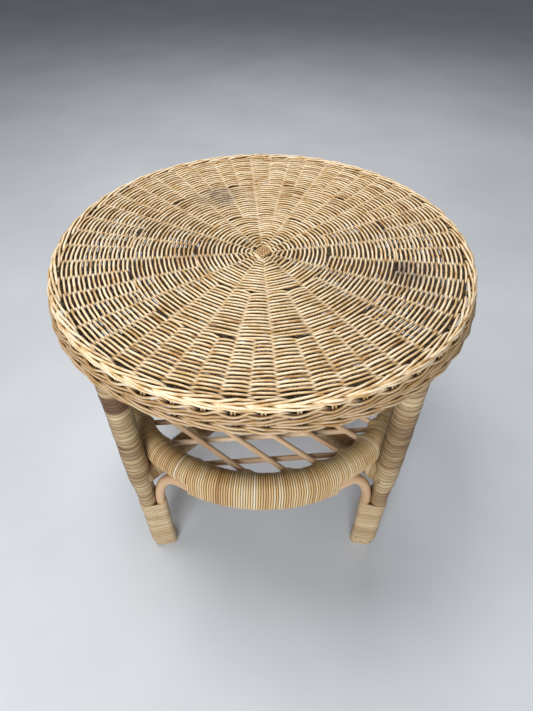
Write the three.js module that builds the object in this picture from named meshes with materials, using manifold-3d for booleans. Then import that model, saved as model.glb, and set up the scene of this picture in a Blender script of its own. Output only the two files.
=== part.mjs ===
// A round rattan coffee table. A woven top with a woven apron lies on a pole hoop. Four wrapped legs
// carry the hoop and stand round a wrapped shelf ring, which holds a lattice of cane rods. Bent cane
// arches tie the feet together below the ring, and two crossed poles tie opposite legs together.
// Millimetres, +Z up. The origin is the middle of the footprint, on the floor.

import * as THREE from "three";
import { mergeVertices } from "three/addons/utils/BufferGeometryUtils.js";
import Module from "manifold-3d";

// Driving dimensions.
const tableHeight = 524;
const touchGap = 0.3;

// The woven top: a centre cross, three zones with twice the wedges each time, and a plaited rim.
const topRadius = 293;
const weaveThickness = 7;
const topSag = 9.5;
const sagPower = 1.4;
const centreRadius = 20.5;
const innerZoneRadius = 95;
const middleZoneRadius = 187;
const outerZoneRadius = 280;
const rimDepth = 11.7;
const rimCornerRadius = 3;

// The apron flares out below the rim.
const apronDepth = 28;
const apronBottomRadius = 300;
const apronThickness = 6;

// The frame under the top.
const hoopPoleRadius = 11;
const topBarRadius = 9;

// The legs stand on the corners of a square. Their poles are thinner below the brace.
const legHalfSpacing = 192.2;
const legPoleRadius = 15;
const footPoleRadius = 12;
const poleTaperStart = 165;
const poleTaperEnd = 240;
const legWrapRadius = 17.5;

// The wraps round a foot and round the joint of a leg with the brace.
const footWrapHeight = 152;
const footWrapThickness = 3;
const archFootClearance = 0.8;
const footChamfer = 3;
const footChamferHeight = 8;
const jointWrapTop = 247;
const jointWrapFootRadius = 13;
const jointWrapTopRadius = 18;
const jointSleeveRadius = 18.6;
const jointSleeveLength = 24.5;

// The shelf ring and its wrapping.
const ringRadius = 233.5;
const ringLevel = 265;
const ringPoleRadius = 16.5;
const ringHoleRadius = 18.1;
const ringWrapRadius = 20.3;
const bundleHalfAngle = 27;
const bundleGapAngle = 0.1;

// The arches between the feet, which are bound to the ring from outside and below.
const archCaneRadius = 8;
const archHoleRadius = 9.2;
const archWrapRadius = 11;
const archFootOffset = 21.5;
const archOutset = 10;
const archDrop = 27.5;
const archBendStart = 148;
const archFootLevel = 10;
const archRingAngle = 33;

// The brace between opposite legs, just under the ring.
const braceRadius = 16;
const braceLevel = 228;

// The lattice of the shelf: a lower and an upper layer of parallel rods.
const rodRadius = 4.3;
const rodRingClearance = 0.8;
const lowerRods = { count: 10, level: 260.6, turn: 4.7, first: -184.1, pitch: 42.3 };
const upperRods = { count: 10, level: 269.6, turn: -38.2, first: -182.8, pitch: 39 };

// How finely round things are divided.
const roundSteps = 40;
const poleSides = 12;
const caneSides = 8;
const ringPoleSides = 10;
const bundleSides = 18;
const archSteps = 36;
const bundleSteps = 8;
const cornerSteps = 4;

// Worked-out values.
const legCircle = legHalfSpacing * Math.SQRT2;
const apronBottomLevel = tableHeight - rimDepth - touchGap - apronDepth;
const apronTopRadius = topRadius + 0.5;
const hoopLevel = topLevel(legCircle) - weaveThickness - touchGap - hoopPoleRadius;
const legTop = hoopLevel - hoopPoleRadius - touchGap;
const topBarLevel = topLevel(0) - weaveThickness - touchGap - topBarRadius;
const archRadius = ringRadius + archOutset;
const archLevel = ringLevel - archDrop;

const wasm = await Module();
wasm.setup();

const cane = (color, roughness) => new THREE.MeshStandardMaterial({ color, roughness, metalness: 0 });
const wovenStrands = cane(0xcfae78, 0.62);
const barkPeel = cane(0xc4aa80, 0.58);
const narrowPeel = cane(0xb98f56, 0.5);
const bareCane = cane(0xc79f76, 0.55);
const hiddenPole = cane(0xb3905f, 0.7);

const table = new THREE.Group();

function addPiece(parent, name, geometry, material) {
  const mesh = new THREE.Mesh(geometry, material);
  mesh.name = name;
  parent.add(mesh);
  return mesh;
}

// Height of the top's upper surface at a distance from the middle: a shallow dish inside the rim.
function topLevel(radius) {
  return tableHeight - topSag * (1 - (radius / outerZoneRadius) ** sagPower);
}

// Radius of a leg's pole at a height.
function legPoleRadiusAt(height) {
  const share = THREE.MathUtils.clamp(
    (height - poleTaperStart) / (poleTaperEnd - poleTaperStart),
    0,
    1,
  );
  return THREE.MathUtils.lerp(footPoleRadius, legPoleRadius, share);
}

// A closed profile of [radius, height] pairs, given anticlockwise, turned round the Z axis.
function turned(profile, steps) {
  const points = profile.map(([radius, height]) => new THREE.Vector2(radius, height));
  return new THREE.LatheGeometry([...points, points[0]], steps).rotateX(Math.PI / 2);
}

// The same for a profile that starts and ends on the axis.
function turnedOnAxis(profile, steps) {
  const points = profile.map(([radius, height]) => new THREE.Vector2(radius, height));
  return new THREE.LatheGeometry(points, steps).rotateX(Math.PI / 2);
}

// A straight round pole along X, centred on the origin.
function poleAlongX(radius, length, sides) {
  return new THREE.CylinderGeometry(radius, radius, length, sides).rotateZ(Math.PI / 2);
}

function solidOf(geometry) {
  const plain = geometry.index ? geometry.toNonIndexed() : geometry.clone();
  plain.deleteAttribute("normal");
  plain.deleteAttribute("uv");
  const merged = mergeVertices(plain, 1e-3);
  return new wasm.Manifold(
    new wasm.Mesh({
      numProp: 3,
      vertProperties: merged.getAttribute("position").array,
      triVerts: new Uint32Array(merged.index.array),
    }),
  );
}

function geometryOf(solid) {
  const { vertProperties, triVerts } = solid.getMesh();
  const geometry = new THREE.BufferGeometry();
  geometry.setAttribute("position", new THREE.BufferAttribute(vertProperties, 3));
  geometry.setIndex(new THREE.BufferAttribute(triVerts, 1));
  geometry.computeVertexNormals();
  return geometry;
}

// The outline of a band stretched round circles: in each direction, the point that lies furthest out.
function bandOutline(circles, steps) {
  const points = [];
  for (let step = 0; step < steps; step++) {
    const angle = (step / steps) * 2 * Math.PI;
    const away = new THREE.Vector2(Math.cos(angle), Math.sin(angle));
    const reach = (circle) => away.x * circle.x + away.y * circle.y + circle.r;
    const furthest = circles.reduce((best, circle) => (reach(circle) > reach(best) ? circle : best));
    points.push(new THREE.Vector2(furthest.x, furthest.y).addScaledVector(away, furthest.r));
  }
  return points;
}

// A sleeve's section: the band round the circles, with one hole that is the band round the same
// circles at their hole radii.
function sleeveSection(circles, steps) {
  const section = new THREE.Shape(bandOutline(circles, steps));
  const holes = circles.map(({ x, y, hole }) => ({ x, y, r: hole }));
  section.holes.push(new THREE.Path(bandOutline(holes, steps)));
  return section;
}

// The same with a hole of its own for each circle.
function boundSection(circles, steps) {
  const section = new THREE.Shape(bandOutline(circles, steps));
  for (const { x, y, hole } of circles) {
    section.holes.push(new THREE.Path(bandOutline([{ x, y, r: hole }], poleSides)));
  }
  return section;
}

// A section in [outward, up] coordinates, swept round the Z axis between two angles in degrees.
function sweptRound(section, radius, startAngle, endAngle, steps) {
  const sweep = THREE.MathUtils.degToRad(endAngle - startAngle);
  const end = THREE.MathUtils.degToRad(endAngle);
  const geometry = new THREE.ExtrudeGeometry(section, { depth: sweep, steps, bevelEnabled: false });
  const position = geometry.getAttribute("position");
  for (let i = 0; i < position.count; i++) {
    const distance = radius + position.getX(i);
    const angle = end - position.getZ(i);
    position.setXYZ(i, distance * Math.cos(angle), distance * Math.sin(angle), position.getY(i));
  }
  geometry.computeVertexNormals();
  return geometry;
}

// Two of these cross at one level: each keeps one half of its thickness at the crossing.
function halvedPole(radius, length, sides, keepsLowerHalf) {
  const cutSize = 2 * (radius + touchGap);
  const cut = new THREE.BoxGeometry(cutSize, cutSize, cutSize);
  const side = keepsLowerHalf ? 1 : -1;
  cut.translate(0, 0, side * (cutSize / 2 - touchGap / 2));
  return geometryOf(solidOf(poleAlongX(radius, length, sides)).subtract(solidOf(cut)));
}

// One zone of the top: a flat ring that follows the dish.
function weaveZone(innerRadius, outerRadius) {
  return turned(
    [
      [innerRadius, topLevel(innerRadius) - weaveThickness],
      [outerRadius, topLevel(outerRadius) - weaveThickness],
      [outerRadius, topLevel(outerRadius)],
      [innerRadius, topLevel(innerRadius)],
    ],
    roundSteps,
  );
}

function centreCross() {
  const bottom = topLevel(0) - weaveThickness;
  return turnedOnAxis(
    [
      [0, bottom],
      [centreRadius, bottom],
      [centreRadius, topLevel(0)],
      [0, topLevel(0)],
    ],
    poleSides,
  );
}

function rimPlait() {
  const innerRadius = outerZoneRadius + touchGap;
  const bottom = tableHeight - rimDepth;
  const outerBottomRadius = apronTopRadius;
  return turned(
    [
      [innerRadius, tableHeight - weaveThickness],
      [outerBottomRadius - apronThickness, bottom],
      [outerBottomRadius, bottom],
      [topRadius, tableHeight - rimCornerRadius],
      [topRadius - rimCornerRadius, tableHeight],
      [innerRadius, tableHeight],
    ],
    roundSteps,
  );
}

function apronWeave() {
  const top = apronBottomLevel + apronDepth;
  return turned(
    [
      [apronBottomRadius - apronThickness, apronBottomLevel],
      [apronBottomRadius, apronBottomLevel],
      [apronTopRadius, top],
      [apronTopRadius - apronThickness, top],
    ],
    roundSteps,
  );
}

function addTop() {
  addPiece(table, "top_centre_cross", centreCross(), wovenStrands);
  const zoneEdges = [centreRadius, innerZoneRadius, middleZoneRadius, outerZoneRadius];
  ["inner", "middle", "outer"].forEach((zone, i) => {
    const geometry = weaveZone(zoneEdges[i] + touchGap, zoneEdges[i + 1]);
    addPiece(table, `top_weave_${zone}`, geometry, wovenStrands);
  });
  addPiece(table, "rim_plait", rimPlait(), wovenStrands);
  addPiece(table, "apron_weave", apronWeave(), wovenStrands);
}

function addTopFrame() {
  const hoopGeometry = new THREE.TorusGeometry(legCircle, hoopPoleRadius, ringPoleSides, roundSteps);
  addPiece(table, "top_hoop", hoopGeometry, hiddenPole).position.z = hoopLevel;
  const barLength = 2 * (legCircle - legWrapRadius - touchGap);
  [45, 135].forEach((turn, i) => {
    const geometry = halvedPole(topBarRadius, barLength, poleSides, i === 0);
    const bar = addPiece(table, `top_cross_bar_${i + 1}`, geometry, hiddenPole);
    bar.position.z = topBarLevel;
    bar.rotation.z = THREE.MathUtils.degToRad(turn);
  });
}

// A leg's pole, grown by a clearance where it is used to cut the wraps round it.
function legPole(clearance) {
  return turnedOnAxis(
    [
      [0, -clearance],
      [footPoleRadius + clearance - footChamfer, -clearance],
      [footPoleRadius + clearance, footChamferHeight],
      [footPoleRadius + clearance, poleTaperStart],
      [legPoleRadius + clearance, poleTaperEnd],
      [legPoleRadius + clearance, legTop],
      [0, legTop],
    ],
    poleSides,
  );
}

function legWrap() {
  const holeRadius = legPoleRadius + touchGap;
  const bottom = jointWrapTop + touchGap;
  return turned(
    [
      [holeRadius, bottom],
      [legWrapRadius, bottom],
      [legWrapRadius, legTop],
      [holeRadius, legTop],
    ],
    poleSides,
  );
}

// The wrap of a joint: a tapered sleeve on the leg and a short sleeve on the end of the brace.
// The middle of the table lies towards -X here.
function jointWrap() {
  const height = jointWrapTop - footWrapHeight - touchGap;
  const middle = jointWrapTop - height / 2;
  const sleeve = new THREE.CylinderGeometry(jointWrapTopRadius, jointWrapFootRadius, height, poleSides);
  sleeve.rotateX(Math.PI / 2).translate(0, 0, middle);
  const braceSleeve = poleAlongX(jointSleeveRadius, jointSleeveLength, poleSides);
  braceSleeve.translate(-jointSleeveLength / 2, 0, braceLevel);
  const poleHole = legPole(touchGap);
  const braceHole = poleAlongX(braceRadius + touchGap, 2 * jointSleeveLength, poleSides);
  braceHole.translate(-2 * jointSleeveLength + braceEndFromLeg(), 0, braceLevel);
  return geometryOf(
    solidOf(sleeve).add(solidOf(braceSleeve)).subtract(solidOf(poleHole)).subtract(solidOf(braceHole)),
  );
}

// How far the end of the brace stays from a leg's axis, as a position along X.
function braceEndFromLeg() {
  return jointSleeveLength - legPoleRadiusAt(braceLevel + braceRadius);
}

// The wrap of a foot binds the leg and the ends of the two arches that meet there.
function footWrap() {
  const leg = {
    x: 0,
    y: 0,
    r: footPoleRadius + footWrapThickness,
    hole: footPoleRadius + touchGap,
  };
  const archEnds = [135, 225].map((direction) => ({
    x: archFootOffset * Math.cos(THREE.MathUtils.degToRad(direction)),
    y: archFootOffset * Math.sin(THREE.MathUtils.degToRad(direction)),
    r: archCaneRadius + footWrapThickness,
    hole: archCaneRadius + archFootClearance,
  }));
  const section = boundSection([leg, ...archEnds], 2 * poleSides);
  return new THREE.ExtrudeGeometry(section, { depth: footWrapHeight, bevelEnabled: false });
}

function addLegs() {
  const corners = { back_right: 45, back_left: 135, front_left: 225, front_right: 315 };
  for (const [corner, direction] of Object.entries(corners)) {
    const turnedLeg = new THREE.Group();
    turnedLeg.rotation.z = THREE.MathUtils.degToRad(direction);
    const leg = new THREE.Group();
    leg.position.x = legCircle;
    addPiece(leg, `leg_pole_${corner}`, legPole(0), hiddenPole);
    addPiece(leg, `leg_wrap_${corner}`, legWrap(), barkPeel);
    addPiece(leg, `joint_wrap_${corner}`, jointWrap(), barkPeel);
    addPiece(leg, `foot_wrap_${corner}`, footWrap(), barkPeel);
    turnedLeg.add(leg);
    table.add(turnedLeg);
  }
}

// Half of the front arch, from the floor beside the left leg to the place where it meets the ring:
// straight up, then a quarter of an ellipse over to the ring's line.
function archShoulder() {
  const foot = new THREE.Vector2(-legHalfSpacing + archFootOffset, -legHalfSpacing);
  const angle = THREE.MathUtils.degToRad(archRingAngle);
  const ringStart = new THREE.Vector2(-archRadius * Math.sin(angle), -archRadius * Math.cos(angle));
  const straight = [archFootLevel, archBendStart / 2];
  const points = straight.map((height) => new THREE.Vector3(foot.x, foot.y, height));
  for (const turn of [0, 30, 60]) {
    const share = THREE.MathUtils.degToRad(turn);
    const place = foot.clone().lerp(ringStart, 1 - Math.cos(share));
    const height = archBendStart + (archLevel - archBendStart) * Math.sin(share);
    points.push(new THREE.Vector3(place.x, place.y, height));
  }
  return points;
}

function archCurve() {
  const shoulder = archShoulder();
  const alongRing = [];
  for (let turn = -archRingAngle; turn <= archRingAngle; turn += archRingAngle / 3) {
    const angle = THREE.MathUtils.degToRad(turn);
    alongRing.push(new THREE.Vector3(archRadius * Math.sin(angle), -archRadius * Math.cos(angle), archLevel));
  }
  const mirrored = shoulder.map((point) => new THREE.Vector3(-point.x, point.y, point.z)).reverse();
  return new THREE.CatmullRomCurve3([...shoulder, ...alongRing, ...mirrored]);
}

function archGeometry() {
  const section = new THREE.Shape(bandOutline([{ x: 0, y: 0, r: archCaneRadius }], caneSides));
  return new THREE.ExtrudeGeometry(section, { steps: archSteps, extrudePath: archCurve() });
}

function addArches() {
  ["front", "right", "back", "left"].forEach((side, i) => {
    const arch = addPiece(table, `arch_${side}`, archGeometry(), bareCane);
    arch.rotation.z = (i * Math.PI) / 2;
  });
}

// The ring's wrapping. In the middle of each side it binds the ring and an arch into one bundle.
function addShelfRing() {
  const pole = new THREE.TorusGeometry(ringRadius, ringPoleRadius, ringPoleSides, roundSteps);
  addPiece(table, "shelf_ring_pole", pole, hiddenPole).position.z = ringLevel;
  const ringCircle = { x: 0, y: 0, r: ringWrapRadius, hole: ringHoleRadius };
  const archCircle = { x: archOutset, y: -archDrop, r: archWrapRadius, hole: archHoleRadius };
  const bundle = sleeveSection([ringCircle, archCircle], bundleSides);
  const plain = sleeveSection([ringCircle], poleSides);
  const edge = bundleHalfAngle + bundleGapAngle;
  ["front", "right", "back", "left"].forEach((side, i) => {
    const turn = new THREE.Group();
    turn.position.z = ringLevel;
    turn.rotation.z = (i * Math.PI) / 2;
    const bundleSleeve = sweptRound(
      bundle,
      ringRadius,
      -90 - bundleHalfAngle,
      -90 + bundleHalfAngle,
      bundleSteps,
    );
    const cornerSleeve = sweptRound(plain, ringRadius, -90 + edge, -edge, cornerSteps);
    addPiece(turn, `ring_arch_wrap_${side}`, bundleSleeve, narrowPeel);
    addPiece(turn, `ring_corner_wrap_${i + 1}`, cornerSleeve, narrowPeel);
    table.add(turn);
  });
}

function addBrace() {
  const braceLength = 2 * (legCircle - legPoleRadiusAt(braceLevel + braceRadius) - touchGap);
  [45, 135].forEach((turn, i) => {
    const geometry = halvedPole(braceRadius, braceLength, poleSides, i === 0);
    const brace = addPiece(table, `brace_pole_${i + 1}`, geometry, barkPeel);
    brace.position.z = braceLevel;
    brace.rotation.z = THREE.MathUtils.degToRad(turn);
  });
}

// A rod at an offset from the middle, cut to fit inside the wrapped ring.
function addLatticeLayer(layer, name) {
  const reach = ringRadius - ringWrapRadius - rodRingClearance;
  const turn = THREE.MathUtils.degToRad(layer.turn);
  for (let i = 0; i < layer.count; i++) {
    const offset = layer.first + i * layer.pitch;
    const furthestSide = Math.abs(offset) + rodRadius;
    const length = 2 * Math.sqrt(reach ** 2 - furthestSide ** 2);
    const geometry = poleAlongX(rodRadius, length, caneSides);
    const rod = addPiece(table, `${name}_${i + 1}`, geometry, bareCane);
    rod.position.set(-offset * Math.sin(turn), offset * Math.cos(turn), layer.level);
    rod.rotation.z = turn;
  }
}

addTop();
addTopFrame();
addLegs();
addArches();
addShelfRing();
addBrace();
addLatticeLayer(lowerRods, "lattice_lower_rod");
addLatticeLayer(upperRods, "lattice_upper_rod");

export default table;
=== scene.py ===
"""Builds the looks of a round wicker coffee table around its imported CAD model.

Lengths are in millimetres until a mesh is made, which is in metres.
"""

import math

import bpy
import numpy as np
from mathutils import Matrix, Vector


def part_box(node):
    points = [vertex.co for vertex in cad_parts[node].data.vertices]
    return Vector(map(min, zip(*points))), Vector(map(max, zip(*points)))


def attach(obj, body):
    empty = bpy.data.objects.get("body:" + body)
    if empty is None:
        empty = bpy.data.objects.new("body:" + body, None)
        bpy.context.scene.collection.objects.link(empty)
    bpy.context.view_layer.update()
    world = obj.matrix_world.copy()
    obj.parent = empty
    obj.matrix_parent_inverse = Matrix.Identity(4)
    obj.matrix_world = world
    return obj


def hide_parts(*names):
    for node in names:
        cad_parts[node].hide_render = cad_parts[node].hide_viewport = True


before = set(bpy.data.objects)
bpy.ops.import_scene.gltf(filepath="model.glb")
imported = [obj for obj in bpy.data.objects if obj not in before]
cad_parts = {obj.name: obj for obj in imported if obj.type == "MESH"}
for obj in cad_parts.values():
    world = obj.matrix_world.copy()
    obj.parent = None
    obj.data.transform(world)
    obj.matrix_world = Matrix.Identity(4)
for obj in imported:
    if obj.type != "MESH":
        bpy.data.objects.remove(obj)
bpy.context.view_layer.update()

MM = 0.001
TURN = 2 * math.pi
CORNERS = {
    "front_left": (-1, -1),
    "front_right": (1, -1),
    "back_left": (-1, 1),
    "back_right": (1, 1),
}
SIDES = ("front", "right", "back", "left")


def box_mm(node):
    """The lowest and highest corners of a CAD node, in millimetres."""
    low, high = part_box(node)
    return np.array(low) / MM, np.array(high) / MM


def middle_of(node):
    low, high = box_mm(node)
    return (low + high) / 2


# Places and sizes that come from the CAD model.
TOP_LEVEL = box_mm("rim_plait")[1][2]
APRON_BOTTOM = box_mm("apron_weave")[0][2]
APRON_RADIUS = box_mm("apron_weave")[1][0]
LEG_OFFSET = middle_of("leg_pole_front_right")[0]
LEG_TOP = box_mm("leg_wrap_front_right")[1][2]
FOOT_TOP = box_mm("foot_wrap_front_right")[1][2]
RING_LEVEL = middle_of("shelf_ring_pole")[2]
BRACE_LEVEL = middle_of("brace_pole_1")[2]
LOWER_ROD_LEVEL = middle_of("lattice_lower_rod_1")[2]
UPPER_ROD_LEVEL = middle_of("lattice_upper_rod_1")[2]

# The woven top.
DISH_DEPTH = 9.5
DISH_POWER = 1.4
DISH_RADIUS = 280
INNER_RADIUS = 95
MIDDLE_RADIUS = 187
ROWS_END_RADIUS = 278
INNER_ROWS = 27
ROW_PITCH = 3.05
ROW_SWING = 2.1
INNER_SWING = 1.6
STRAND_RADIUS = 1.64
WEAVE_DEPTH = 3.75

# The crossing of the first stakes in the middle of the top.
PATCH_HALF_WIDTH = 12.6
PATCH_HALF_LENGTH = 16.4
PATCH_STICKS = 8
PATCH_DEPTH = 2.4
PATCH_EDGE_DROP = 2.4
PATCH_SWING = 0.95
CROSS_HALF_ANGLE = math.atan2(PATCH_HALF_LENGTH, PATCH_HALF_WIDTH)

# The stakes. The lines between their groups, in degrees, aren't quite evenly spread.
GROUPS = 48
FAN_START = 6.0
FAN_SPREAD = 2.2
FAN_TURN = 30
STAKE_RADIUS = 1.4
STAKE_PITCH = 3.1
STAKE_SHADE = 0.7
STAKES_START = 19

# The rim and the apron.
RIM_RADIUS = 293
RIM_CORNER = 6
RIM_STRAND = 1.8
RIM_STEPS = 12
WEAVE_THICKNESS = 7
APRON_STAKE_PITCH = 3.8
APRON_STAKE_DEPTH = 4.8
APRON_STAKE_END = 36.5

# The legs, feet and braces.
LEG_WRAP = 17.5
FOOT_LEG_WRAP = 13.2
JOINT_FOOT = 165
JOINT_TOP = 250
WRAP_STEP = 0.85
PEEL_CHANGES = 1.5
LEG_PEEL_WIDTH = 8.2
FOOT_PEEL_WIDTH = 8.6
FOOT_MIDDLE = 5.5
FOOT_ROUNDING = 30
FOOT_ARCH_ROUNDING = 10
FOOT_LEG_RADIUS = 14.4
FOOT_ARCH_RADIUS = 9.8
FOOT_PEEL_RADIUS = 17.0
# A stretch of darker peel on each leg: from, to, and how much darker.
LEG_DARK_PEEL = {
    "front_left": (402, 438, 0.5),
    "front_right": (268, 405, 0.24),
    "back_left": (300, 352, 0.3),
    "back_right": (210, 262, 0.35),
}
ARCH_CANE = 8
ARCH_FOOT_OFFSET = 21.5
ARCH_BEND_START = 148
ARCH_RING_ANGLE = 33
ARCH_OUTSET = 10
ARCH_DROP = 27.5
BRACE_WRAP = 16.8
BRACE_PEEL_WIDTH = 9.0
SLEEVE_WRAP = 18.6
SLEEVE_LENGTH = 62
SLEEVE_TAPER = 22

# The shelf.
RING_RADIUS = 233.5
RING_WRAP = 20.3
BUNDLE_ARCH_WRAP = 11
BUNDLE_HALF_ANGLE = 27
RING_TURNS = 432
RING_PEEL_WIDTH = 3.4
RING_PEEL_RADIUS = 22.0
RING_PEEL_BULGE = 1.5
RING_PEEL_SINK = 1.25
RING_STRETCHES = 8
ROD_RADIUS = 4.3
ROD_HUMP = 5.0
ROD_HUMP_WIDTH = 8.5
ROD_HUMP_LIFT = 3.0
LOWER_RODS = {"count": 10, "level": LOWER_ROD_LEVEL, "turn": 4.7, "first": -184.1, "pitch": 42.3}
UPPER_RODS = {"count": 10, "level": UPPER_ROD_LEVEL, "turn": -38.2, "first": -182.8, "pitch": 39}

# The stage, in metres, degrees and watts. Each light has a place, a target, a width, a power and a tint.
FLOOR_HALF_WIDTH = 6.0
CAMERA_LENS = 26.08
CAMERA_PLACE = (0.0055, -0.6205, 0.936)
CAMERA_DOWN = 45.72
LIGHTS = {
    "key_light": ((-0.6, 0.1, 2.4), (0, 0, 0.4), 0.9, 30, (1.0, 0.985, 0.96)),
    "fill_light": ((-0.35, -1.9, 1.15), (0, 0, 0.25), 1.1, 39, (0.97, 0.985, 1.0)),
    "back_light": ((0.2, 1.8, 2.0), (0, 0, 0.4), 1.1, 24, (1.0, 1.0, 1.0)),
}
WORLD_COLOUR = (0.86, 0.9, 0.96, 1)
WORLD_STRENGTH = 0.13


# ---- mesh making


def smooth(x):
    """Goes from 0 to 1 as x does, with no corner at either end."""
    x = np.clip(x, 0, 1)
    return x * x * (3 - 2 * x)


def unit(vectors):
    return vectors / np.linalg.norm(vectors, axis=-1, keepdims=True)


def cap(ring):
    """Faces that close a ring of an even number of vertices."""
    n = len(ring)
    k = np.arange(n // 2 - 1)
    return np.stack([ring[k], ring[k + 1], ring[n - 2 - k], ring[n - 1 - k]], 1)


class Surface:
    """Collects grids of points into one mesh, with the values its material reads."""

    def __init__(self):
        self.points, self.faces, self.tone, self.shade, self.grain = [], [], [], [], []
        self.count = 0

    def add(self, grid, grain, tone=0.5, shade=0.0, loop=False):
        """Adds a tube: each row of the grid is one section, counterclockwise seen from its end."""
        rows, columns = grid.shape[:2]
        index = np.arange(rows * columns).reshape(rows, columns) + self.count
        across = np.roll(index, -1, 1)
        if loop:
            faces = [self.quads(index, across, np.roll(index, -1, 0), np.roll(across, -1, 0))]
        else:
            faces = [self.quads(index[:-1], across[:-1], index[1:], across[1:])]
            faces.append(cap(index[0])[:, ::-1])
            faces.append(cap(index[-1]))
        self.points.append(grid.reshape(-1, 3))
        self.faces += faces
        self.grain.append(grain.reshape(-1, 3))
        for store, values in ((self.tone, tone), (self.shade, shade)):
            values = np.asarray(values, float)
            if values.ndim == 1:
                values = values[:, None]
            store.append(np.broadcast_to(values, (rows, columns)).ravel())
        self.count += rows * columns

    @staticmethod
    def quads(a, b, c, d):
        return np.stack([a, b, d, c], -1).reshape(-1, 4)

    def make(self, name, material, slot, *nodes):
        """Makes the piece, of a material, in place of some CAD nodes. The slot is not used."""
        points = np.concatenate(self.points) * MM
        faces = np.concatenate(self.faces)
        mesh = bpy.data.meshes.new(name)
        mesh.vertices.add(len(points))
        mesh.vertices.foreach_set("co", points.astype(np.float32).ravel())
        mesh.loops.add(4 * len(faces))
        mesh.loops.foreach_set("vertex_index", faces.astype(np.int32).ravel())
        mesh.polygons.add(len(faces))
        mesh.polygons.foreach_set("loop_start", np.arange(0, 4 * len(faces), 4, dtype=np.int32))
        mesh.update(calc_edges=True)
        mesh.shade_smooth()
        for label, values in (("tone", self.tone), ("shade", self.shade)):
            attribute = mesh.attributes.new(label, "FLOAT", "POINT")
            attribute.data.foreach_set("value", np.concatenate(values).astype(np.float32))
        attribute = mesh.attributes.new("grain", "FLOAT_VECTOR", "POINT")
        grain = np.concatenate(self.grain) * MM
        attribute.data.foreach_set("vector", grain.astype(np.float32).ravel())
        mesh.validate()
        piece = bpy.data.objects.new(name, mesh)
        bpy.context.scene.collection.objects.link(piece)
        piece.data.materials.append(material)
        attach(piece, "root")
        if nodes:
            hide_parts(*nodes)


def distances(path, loop=False):
    """How far along the path each point is, and the whole length."""
    steps = np.linalg.norm(np.diff(path, axis=0, append=path[:1]), axis=1)
    along = np.concatenate([[0], np.cumsum(steps)])
    return along[:-1], along[-1] if loop else along[-2]


def sweep(path, up, section, loop=False):
    """Moves a section along a path. The section is rows × columns × 2, or columns × 2."""
    if loop:
        tangent = np.roll(path, -1, 0) - np.roll(path, 1, 0)
    else:
        tangent = np.gradient(path, axis=0)
    tangent = unit(tangent)
    side = unit(np.cross(np.broadcast_to(up, path.shape), tangent))
    lift = np.cross(tangent, side)
    section = np.asarray(section, float)
    if section.ndim == 2:
        section = np.broadcast_to(section, (len(path), *section.shape))
    return path[:, None] + section[..., :1] * side[:, None] + section[..., 1:] * lift[:, None]


def angles_round(count):
    return TURN * np.arange(count) / count


def circle(angle, radius=1.0):
    """Points on a circle at some angles."""
    return np.stack([radius * np.cos(angle), radius * np.sin(angle)], -1)


def round_points(radius, height, theta):
    """Points at a radius, a height and an angle about the table's middle."""
    return np.stack([radius * np.cos(theta), radius * np.sin(theta), height], -1)


def stacked(flat, height):
    """Flat outlines, one at each height, as one grid of points."""
    return np.concatenate([flat, np.broadcast_to(height[:, None, None], (*flat.shape[:2], 1))], -1)


def lengths_of_strand(rng, along, total, shortest, longest):
    """Cuts one round of weaving into strands: each point's tone and how far along its strand it is."""
    count = max(1, round(total / rng.uniform(shortest, longest)))
    cuts = np.sort(rng.uniform(0, total, count))
    tones = np.clip(rng.normal(0.5, 0.1, count + 1), 0.02, 0.98)
    tones[-1] = tones[0]
    starts = rng.uniform(0, 40000, count + 1)
    starts[-1] = starts[0] + total
    which = np.searchsorted(cuts, along)
    return tones[which], starts[which] + along


def tube(surface, rng, path, up, radius, sides=8, loop=False, shade=0.0, tone=None, strand=(600, 1500)):
    """Adds one strand of cane along a path."""
    radius = np.broadcast_to(radius, len(path)).copy()
    along, total = distances(path, loop)
    if tone is None:
        tones, position = lengths_of_strand(rng, along, total, *strand)
    else:
        tones, position = np.full(len(path), tone), along + rng.uniform(0, 40000)
    if not loop:
        start, end = path[0] - path[1], path[-1] - path[-2]
        lip = 0.35 * radius[0]
        path = np.concatenate([[path[0] + unit(start) * lip], path, [path[-1] + unit(end) * lip]])
        radius = np.concatenate([[radius[0] * 0.6], radius, [radius[-1] * 0.6]])
        tones, position = np.pad(tones, 1, "edge"), np.pad(position, 1, "edge")
        if np.ndim(up) == 2:
            up = np.pad(up, ((1, 1), (0, 0)), "edge")
        if np.ndim(shade) == 1:
            shade = np.pad(shade, 1, "edge")
    around = circle(angles_round(sides))
    grid = sweep(path, up, radius[:, None, None] * around, loop)
    grain = np.empty(grid.shape)
    grain[..., :2] = radius[:, None, None] * around
    grain[..., 2] = position[:, None]
    surface.add(grid, grain, tones, shade, loop)


def wavy(rng, count, knots, size):
    """A closed, smooth, random line of count values that swings by about size."""
    spectrum = np.zeros(count // 2 + 1, complex)
    top = min(knots, count // 2)
    spectrum[1:top] = rng.normal(size=top - 1) + 1j * rng.normal(size=top - 1)
    line = np.fft.irfft(spectrum, count)
    return size * line / max(line.std(), 1e-9)


# ---- the woven top


def stake_lines():
    """The angles of the lines between the groups of stakes, with one more to close the round."""
    rng = np.random.default_rng(57)
    even = FAN_START + 360 / GROUPS * np.arange(GROUPS)
    lines = even + FAN_SPREAD * np.sin(np.radians(2 * even + FAN_TURN))
    wander = rng.normal(0, 0.4, GROUPS)
    wander[::4] += rng.normal(0, 0.5, GROUPS // 4)
    lines = np.radians(lines + wander)
    return np.append(lines, lines[0] + TURN)


LINES = stake_lines()


def dish_level(radius):
    share = np.clip(radius / DISH_RADIUS, 0, 1)
    return TOP_LEVEL - DISH_DEPTH * (1 - share**DISH_POWER)


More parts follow.
